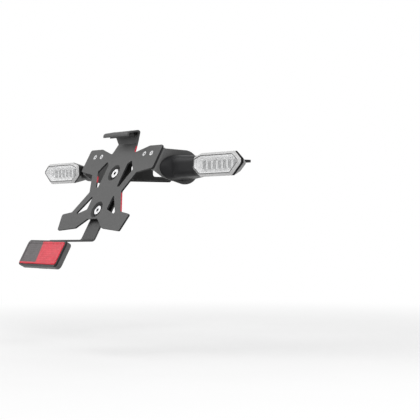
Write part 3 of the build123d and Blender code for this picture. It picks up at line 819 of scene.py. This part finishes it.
def lamp_screws_piece():
    """Lamp screws with thin heads, so that the visor keeps a straight top edge."""
    low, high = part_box("plate_lamp_screws")
    axis = Vector((0, -math.sin(SCREW_TILT), math.cos(SCREW_TILT)))
    profile = [
        (0, -SCREW_LENGTH),
        (SCREW_SHANK, -SCREW_LENGTH),
        (SCREW_SHANK, 0),
        (SCREW_HEAD, 0),
        (SCREW_HEAD, 0.1 * MM),
        (SCREW_HEAD - 0.3 * MM, 0.3 * MM),
        (1.4 * MM, SCREW_HEAD_HEIGHT),
        (1.2 * MM, SCREW_SOCKET_FLOOR),
        (0, SCREW_SOCKET_FLOOR),
    ]
    y = high.y - SCREW_HEAD * math.cos(SCREW_TILT)
    z = low.z + SCREW_SHANK * math.sin(SCREW_TILT) + SCREW_LENGTH * math.cos(SCREW_TILT)
    bm = bmesh.new()
    for x in (low.x + SCREW_HEAD, high.x - SCREW_HEAD):
        lathe(bm, profile, Vector((x, y, z)), axis)
    make_piece("plate_lamp_thin_screws", bm, [finishes["bright_steel"]], "plate_lamp_screws")


for side in ("left", "right"):
    cover_piece(side)
    bowl_piece(side)
reflector_piece()
lamp_screws_piece()


# Floor, light and camera
def seen_directly(tree):
    """One for what the camera, a gloss or a clear piece sees, zero for the light that falls on the part."""
    path = tree.nodes.new("ShaderNodeLightPath")
    seen = maths(tree, "MAXIMUM", path.outputs["Is Camera Ray"], path.outputs["Is Glossy Ray"])
    return maths(tree, "MAXIMUM", seen, path.outputs["Is Transmission Ray"])


def show_mix(tree, factor, one, two, output):
    """Mix two shaders into an output node."""
    node = tree.nodes.new("ShaderNodeMixShader")
    tree.links.new(factor, node.inputs[0])
    tree.links.new(one.outputs[0], node.inputs[1])
    tree.links.new(two.outputs[0], node.inputs[2])
    tree.links.new(node.outputs[0], tree.nodes[output].inputs["Surface"])


def floor():
    """Pale floor that takes the shadow near the part and fades to white further out."""
    mesh = bpy.data.meshes.new("floor")
    corners = [(x * FLOOR_SIZE, y * FLOOR_SIZE, FLOOR_LEVEL) for x, y in ((-1, -1), (1, -1), (1, 1), (-1, 1))]
    mesh.from_pydata(corners, [], [(0, 1, 2, 3)])
    obj = bpy.data.objects.new("floor", mesh)
    scene.collection.objects.link(obj)
    mat, tree, shader = new_material("pale_floor")
    pale = ramp(tree, noise(tree, 3, 3), [(0.3, grey(0.78)), (0.7, grey(0.82))])
    tree.links.new(pale, shader.inputs["Base Color"])
    shader.inputs["Roughness"].default_value = 0.9
    shader.inputs["Specular IOR Level"].default_value = 0.1
    white = tree.nodes.new("ShaderNodeEmission")
    white.inputs["Color"].default_value = WHITE
    length = tree.nodes.new("ShaderNodeVectorMath")
    length.operation = "LENGTH"
    tree.links.new(coords(tree), length.inputs[0])
    far = spread(tree, length.outputs["Value"], FLOOR_WHITE, 1, *FLOOR_FADE, smooth=True)
    factor = maths(tree, "MULTIPLY", seen_directly(tree), far)
    show_mix(tree, factor, shader, white, "Material Output")
    mesh.materials.append(mat)


def area_light(name, place, target, size, power):
    data = bpy.data.lights.new(name, "AREA")
    data.shape = "DISK"
    data.size = size
    data.energy = power
    obj = bpy.data.objects.new(name, data)
    obj.location = place
    obj.rotation_euler = (Vector(target) - Vector(place)).to_track_quat("-Z", "Y").to_euler()
    scene.collection.objects.link(obj)


def world():
    """White studio that lights the part with a softer fill."""
    back = bpy.data.worlds.new("studio")
    scene.world = back
    back.use_nodes = True
    tree = back.node_tree
    fill = tree.nodes["Background"]
    fill.inputs["Color"].default_value = WHITE
    fill.inputs["Strength"].default_value = FILL_STRENGTH
    white = tree.nodes.new("ShaderNodeBackground")
    white.inputs["Color"].default_value = WHITE
    white.inputs["Strength"].default_value = 1.0
    show_mix(tree, seen_directly(tree), fill, white, "World Output")


def camera():
    """Camera at the photo's angle."""
    data = bpy.data.cameras.new("camera")
    data.sensor_width = CAMERA_SENSOR
    data.lens = CAMERA_LENS
    data.clip_start, data.clip_end = CAMERA_CLIP
    obj = bpy.data.objects.new("camera", data)
    obj.location = CAMERA_PLACE
    forward = Vector((
        -math.sin(CAMERA_TURN) * math.cos(CAMERA_PITCH),
        math.cos(CAMERA_TURN) * math.cos(CAMERA_PITCH),
        math.sin(CAMERA_PITCH),
    ))
    obj.rotation_euler = forward.to_track_quat("-Z", "Y").to_euler()
    scene.collection.objects.link(obj)
    scene.camera = obj


floor()
world()
for name, (place, target, size, power) in LIGHTS.items():
    area_light(name, place, target, size, power)
camera()
